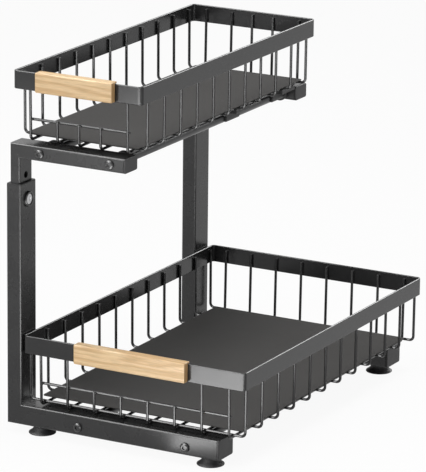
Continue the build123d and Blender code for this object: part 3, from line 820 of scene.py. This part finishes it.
class ORGANIZER_OT_height_clamps(bpy.types.Operator):
    """Adds the clamp screws and washers on the sleeves, and coats the nuts."""

    bl_idname = "organizer.height_clamps"
    bl_label = "Height clamps"

    def execute(self, context):
        self.left_screws()
        self.right_screws()
        coat_node("height_clamp_nuts", "zinc_screws")
        return {"FINISHED"}

    def left_screws(self):
        """Domed screws whose heads stand off the sleeves."""
        node = "height_clamp_left_screws"
        low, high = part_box(node)
        radius = (high.z - low.z) / 2
        middle = (low.z + high.z) / 2
        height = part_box("base_front_frame")[0].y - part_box("base_rail_bolts")[0].y
        screw = socket_screw(radius, height, BOLT_DOME, high.x - low.x - height)
        places = [((low.x + height, y, middle), (0, pi / 2, 0)) for y in (low.y + radius, high.y - radius)]
        dress(copies(screw, places), "height_clamp_left_screw_set", "base", "black_screws", node)

    def right_screws(self):
        """Thin-headed screws sunk in cup washers."""
        head_height, head_dome = 1 * MM, 0.6 * MM
        cup_floor, cup_edge, cup_gap, bore = 0.4 * MM, 0.4 * MM, 0.3 * MM, 3.2 * MM
        node, washer_node = "height_clamp_right_screws", "height_clamp_washers"
        low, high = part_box(node)
        washer_low, washer_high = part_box(washer_node)
        radius = (high.z - low.z) / 2
        middle = (low.z + high.z) / 2
        sides = (low.y + radius, high.y - radius)
        seat = washer_low.x + cup_floor
        screw = socket_screw(radius, head_height, head_dome, seat - low.x)
        places = [((seat, y, middle), (0, -pi / 2, 0)) for y in sides]
        dress(copies(screw, places), "height_clamp_right_screw_set", "base", "zinc_screws", node)
        outer = (washer_high.z - washer_low.z) / 2
        thick = washer_high.x - washer_low.x
        recess = radius + cup_gap
        cup = turned([(bore, 0), (outer, 0), (outer, thick - cup_edge), (outer - cup_edge, thick),
                      (recess, thick), (recess, cup_floor), (bore, cup_floor), (bore, 0)], closed=True)
        smooth(cup)
        places = [((washer_low.x, y, middle), (0, pi / 2, 0)) for y in sides]
        dress(copies(cup, places), "height_clamp_washer_set", "base", "black_screws", washer_node)


class ORGANIZER_OT_feet(bpy.types.Operator):
    """Adds the four suction feet."""

    bl_idname = "organizer.feet"
    bl_label = "Feet"

    def execute(self, context):
        # Radius and height in mm of the cup's hollow, its lip, its outside, the shoulder and the peg
        rings = [(0.5, 3.4), (6.8, 2.6), (11.0, 1.3),
                 (13.6, 0), (14.8, 0), (15, 0.3),
                 (14.9, 1.0), (13.6, 1.9), (12.0, 3.0), (10.6, 4.4), (9.7, 5.9), (9.3, 7.2),
                 (9.3, 9.4), (8.8, 10),
                 (3.0, 10), (3.0, 11.55), (4.3, 11.55), (3.9, 12.8), (2.6, 14.75), (0.5, 14.75)]
        for side in ("front", "rear"):
            for hand in ("left", "right"):
                node = "foot_" + side + "_" + hand
                low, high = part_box(node)
                foot = turned([(r * MM, h * MM) for r, h in rings], count=48)
                smooth(foot, angle=50)
                places = [(((low.x + high.x) / 2, (low.y + high.y) / 2, low.z), (0, 0, 0))]
                dress(copies(foot, places), node + "_cup", "base", "black_rubber", node)
        return {"FINISHED"}


def rounded_sheet(low, high, corner, steps):
    """Flat rounded rectangle at the height of its low corner."""
    deselect()
    middle = (Vector(low) + Vector(high)) / 2
    size = Vector(high) - Vector(low)
    bpy.ops.mesh.primitive_plane_add(size=1, location=(middle.x, middle.y, low[2]))
    sheet = bpy.context.object
    sheet.scale = (size.x, size.y, 1)
    apply_place(sheet)
    pick(sheet, "VERT", lambda v: True)
    bevel_picked(corner, steps, "VERTICES")
    return sheet


class ORGANIZER_OT_rims(bpy.types.Operator):
    """Adds the rim bands of both baskets."""

    bl_idname = "organizer.rims"
    bl_label = "Rim bands"

    def execute(self, context):
        sizes = context.scene.organizer_band
        for tier in TIERS:
            node = tier + "_rim_band"
            low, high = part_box(node)
            band = rounded_sheet(low, high, sizes.corner_radius, 10)
            pick(band, "FACE", lambda f: True)
            bpy.ops.mesh.delete(type="ONLY_FACE")
            bpy.ops.mesh.select_mode(type="EDGE")
            bpy.ops.mesh.select_all(action="SELECT")
            bpy.ops.mesh.extrude_region_move(TRANSFORM_OT_translate={"value": (0, 0, high.z - low.z)})
            bpy.ops.mesh.select_all(action="SELECT")
            bpy.ops.mesh.normals_make_consistent(inside=False)
            bpy.ops.object.mode_set(mode="OBJECT")
            use_modifier(band, "SOLIDIFY", thickness=sizes.thickness, offset=-1, use_even_offset=True)
            soften(band, sizes.edge, steps=3, angle=60)
            dress(band, tier + "_rim", BASKET_BODY[tier], "basket_steel", node)
        return {"FINISHED"}


class ORGANIZER_OT_wires(bpy.types.Operator):
    """Adds the bent wires of both baskets and the weld nuggets where they cross."""

    bl_idname = "organizer.wires"
    bl_label = "Wires"
    end_edge = 0.3 * MM
    nugget_flatness = 0.45

    def execute(self, context):
        for tier in TIERS:
            sizes = context.scene.organizer_wire
            self.radius = (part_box(tier + "_window_wire")[1].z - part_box(tier + "_window_wire")[0].z) / 2
            self.bend, self.steps = sizes.bend_radius, sizes.bend_steps
            self.side_lean, self.end_lean = sizes.side_lean, sizes.end_lean
            side_places = node_places(tier + "_side_wires", 1)
            length_places = node_places(tier + "_length_wires", 0)
            body = BASKET_BODY[tier]
            self.side_wires(tier, side_places, body)
            self.length_wires(tier, length_places, body)
            self.window_wire(tier, body)
            self.welds(tier, side_places, length_places, body, sizes.weld_radius)
        return {"FINISHED"}

    def side_wires(self, tier, places, body):
        """U wires from wall to wall across the basket."""
        low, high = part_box(tier + "_side_wires")
        r = self.radius
        foot = self.side_lean
        points = [(low.x + r, 0, high.z), (low.x + r + foot, 0, low.z + r),
                  (high.x - r - foot, 0, low.z + r), (high.x - r, 0, high.z)]
        model = wire(points, r, self.bend, self.steps)
        soften(model, self.end_edge, steps=2, angle=60)
        piece = copies(model, [((0, y, 0), (0, 0, 0)) for y in places])
        dress(piece, tier + "_side_wire_set", body, "basket_steel", tier + "_side_wires")

    def length_wires(self, tier, places, body):
        """U wires from the front wall to the rear wall, the middle ones short at the front."""
        low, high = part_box(tier + "_length_wires")
        window_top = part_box(tier + "_window_wire")[1].z
        r = self.radius
        foot = self.end_lean
        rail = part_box(ARMS[tier] + "_left_rail")[1].x
        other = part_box(ARMS[tier] + "_right_rail")[0].x
        made = []
        for is_short in (False, True):
            share = (window_top - low.z) / (high.z - low.z) if is_short else 1.0
            points = [(0, low.y + r + foot * (1 - share), low.z + (high.z - low.z) * share),
                      (0, low.y + r + foot, low.z + r), (0, high.y - r - foot, low.z + r),
                      (0, high.y - r, high.z)]
            model = wire(points, r, self.bend, self.steps)
            soften(model, self.end_edge, steps=2, angle=60)
            chosen = [x for x in places if (rail < x < other) == is_short]
            made.append(copies(model, [((x, 0, 0), (0, 0, 0)) for x in chosen]))
        dress(join(made), tier + "_length_wire_set", body, "basket_steel", tier + "_length_wires")

    def window_wire(self, tier, body):
        """Straight wire along the lower edge of the front window."""
        low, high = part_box(tier + "_window_wire")
        y, z = (low.y + high.y) / 2, (low.z + high.z) / 2
        piece = wire([(low.x, y, z), (high.x, y, z)], self.radius, self.bend, self.steps)
        soften(piece, self.end_edge, steps=2, angle=60)
        dress(piece, tier + "_window_wire_rod", body, "basket_steel", tier + "_window_wire")

    def welds(self, tier, side_places, length_places, body, size):
        """Flat nuggets where the two layers of floor wires touch, and at the window wire."""
        deselect()
        bpy.ops.mesh.primitive_uv_sphere_add(segments=10, ring_count=6, radius=size)
        nugget = bpy.context.object
        nugget.scale = (1, 1, self.nugget_flatness)
        apply_place(nugget)
        smooth(nugget, angle=80)
        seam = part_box(tier + "_side_wires")[0].z
        places = [((x, y, seam), (0, 0, 0)) for x in length_places for y in side_places]
        low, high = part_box(tier + "_window_wire")
        middle = (low.z + high.z) / 2
        for x in length_places:
            places.append(((x, low.y, middle), (pi / 2, 0, 0)))
        dress(copies(nugget, places), tier + "_wire_welds", body, "basket_steel")


def node_places(node, axis):
    """Middles along an axis of the separate solids of a CAD node, in order."""
    apart = 5 * MM
    mesh = frame["nodes"][node].data
    values = sorted(v.co[axis] for v in mesh.vertices)
    groups = [[values[0], values[0]]]
    for value in values:
        if value - groups[-1][1] > apart:
            groups.append([value, value])
        groups[-1][1] = value
    return [(a + b) / 2 for a, b in groups]


class ORGANIZER_OT_floor_plates(bpy.types.Operator):
    """Adds the plates that lie on the basket wires."""

    bl_idname = "organizer.floor_plates"
    bl_label = "Floor plates"

    def execute(self, context):
        sizes = context.scene.organizer_band
        for tier in TIERS:
            node = tier + "_floor_plate"
            low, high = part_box(node)
            plate = rounded_sheet(low, high, sizes.plate_corner, 6)
            pick(plate, "FACE", lambda f: True)
            bpy.ops.mesh.extrude_region_move(TRANSFORM_OT_translate={"value": (0, 0, high.z - low.z)})
            bpy.ops.mesh.select_all(action="SELECT")
            bpy.ops.mesh.normals_make_consistent(inside=False)
            bpy.ops.object.mode_set(mode="OBJECT")
            close_holes(plate)
            soften(plate, sizes.plate_edge, steps=2, angle=60)
            dress(plate, tier + "_plate", BASKET_BODY[tier], "plate_steel", node)
        return {"FINISHED"}


def close_holes(piece):
    """Fills open loops of a piece and turns its faces outwards."""
    activate(piece)
    bpy.ops.object.mode_set(mode="EDIT")
    bpy.ops.mesh.select_all(action="SELECT")
    bpy.ops.mesh.fill_holes(sides=0)
    bpy.ops.mesh.select_all(action="SELECT")
    bpy.ops.mesh.normals_make_consistent(inside=False)
    bpy.ops.object.mode_set(mode="OBJECT")


class ORGANIZER_OT_handles(bpy.types.Operator):
    """Adds the wooden grips and the screws that hold them."""

    bl_idname = "organizer.handles"
    bl_label = "Handles"

    def execute(self, context):
        sizes = context.scene.organizer_handle
        lip_overlap, lip_edge = 0.5 * MM, 0.8 * MM
        for tier in TIERS:
            node = tier + "_handle"
            low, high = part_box(node)
            band_low, band_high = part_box(tier + "_rim_band")
            grip = bar(low, (high.x, band_low.y, high.z))
            pick(grip, "EDGE", lambda e: along(0)(e) and all(v.co.y < low.y + MM for v in e.verts))
            bevel_picked(sizes.long_edge, 4)
            pick(grip, "EDGE", lambda e: all(v.co.x > high.x - MM for v in e.verts)
                 or all(v.co.x < low.x + MM for v in e.verts))
            bevel_picked(sizes.end_edge, 3)
            smooth(grip)
            lip = bar((low.x, band_low.y - lip_overlap, band_high.z), high)
            soften(lip, lip_edge, steps=3)
            dress(join([grip, lip]), tier + "_grip", BASKET_BODY[tier], "handle_wood", node)
            self.screws(tier)
        return {"FINISHED"}

    def screws(self, tier):
        """Flat screws from inside the band."""
        node = tier + "_handle_screws"
        low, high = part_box(node)
        radius = (high.z - low.z) / 2
        head, shank, tip, point = 2 * MM, 2 * MM, 0.4 * MM, 1 * MM
        length = high.y - low.y - head
        crown = [(tip, -head), (radius * 0.55, -head), (radius * 0.85, -head * 0.75), (radius, -head * 0.2)]
        screw = turned([*crown, (radius, 0), (shank, 0), (shank, length - point), (tip, length)], count=24)
        smooth(screw)
        middle = (low.z + high.z) / 2
        places = [((x, high.y - head, middle), (pi / 2, 0, 0)) for x in (low.x + radius, high.x - radius)]
        dress(copies(screw, places), node + "_set", BASKET_BODY[tier], "zinc_screws", node)


class ORGANIZER_OT_sliders(bpy.types.Operator):
    """Adds the sliders, and coats their clamp bars and screws."""

    bl_idname = "organizer.sliders"
    bl_label = "Sliders"

    def execute(self, context):
        moulded_edge = 0.3 * MM
        for tier in TIERS:
            body = BASKET_BODY[tier]
            for corner in ("front_left", "front_right", "rear_left", "rear_right"):
                node = tier + "_slider_" + corner
                piece = copy_of_node(node)
                soften(piece, moulded_edge, steps=2, angle=50)
                dress(piece, node + "_moulding", body, "black_plastic", node)
            coat_node(tier + "_slider_clamp_bars", "black_plastic")
            coat_node(tier + "_slider_screws", "zinc_screws")
        return {"FINISHED"}


class ORGANIZER_OT_guides(bpy.types.Operator):
    """Coats the sleeve guides and the post glides."""

    bl_idname = "organizer.guides"
    bl_label = "Guides"

    def execute(self, context):
        for side in ("front", "rear"):
            coat_node(side + "_sleeve_guide", "black_plastic")
            coat_node(side + "_post_glide", "black_plastic")
        return {"FINISHED"}


class ORGANIZER_PT_pieces(bpy.types.Panel):
    """Lists the organizer's settings and pieces."""

    bl_idname = "ORGANIZER_PT_pieces"
    bl_label = "Under Sink Organizer"
    bl_space_type = "VIEW_3D"
    bl_region_type = "UI"
    bl_category = "Organizer"

    def draw(self, context):
        layout = self.layout
        for name, settings in SETTINGS:
            box = layout.box()
            box.label(text=name)
            group = getattr(context.scene, "organizer_" + name)
            for key in settings.__annotations__:
                box.prop(group, key)
        for operator in OPERATORS:
            layout.operator(operator.bl_idname)


SETTINGS = (("wire", WireSettings), ("band", BandSettings), ("handle", HandleSettings),
            ("finish", FinishSettings), ("stage", StageSettings))
OPERATORS = (ORGANIZER_OT_stage, ORGANIZER_OT_frames, ORGANIZER_OT_end_caps, ORGANIZER_OT_rails,
             ORGANIZER_OT_rail_bolts, ORGANIZER_OT_height_clamps, ORGANIZER_OT_feet, ORGANIZER_OT_rims,
             ORGANIZER_OT_wires, ORGANIZER_OT_floor_plates, ORGANIZER_OT_handles, ORGANIZER_OT_sliders,
             ORGANIZER_OT_guides)


def register():
    """Registers the settings, operators and panel."""
    for name, settings in SETTINGS:
        bpy.utils.register_class(settings)
        setattr(bpy.types.Scene, "organizer_" + name, bpy.props.PointerProperty(type=settings))
    for operator in OPERATORS:
        bpy.utils.register_class(operator)
    bpy.utils.register_class(ORGANIZER_PT_pieces)


def unregister():
    """Removes what register added."""
    bpy.utils.unregister_class(ORGANIZER_PT_pieces)
    for operator in reversed(OPERATORS):
        bpy.utils.unregister_class(operator)
    for name, settings in reversed(SETTINGS):
        delattr(bpy.types.Scene, "organizer_" + name)
        bpy.utils.unregister_class(settings)


def main():
    """Builds the pieces and the stage."""
    register()
    for operator in OPERATORS:
        group, name = operator.bl_idname.split(".")
        getattr(getattr(bpy.ops, group), name)()


if __name__ == "__main__":
    main()
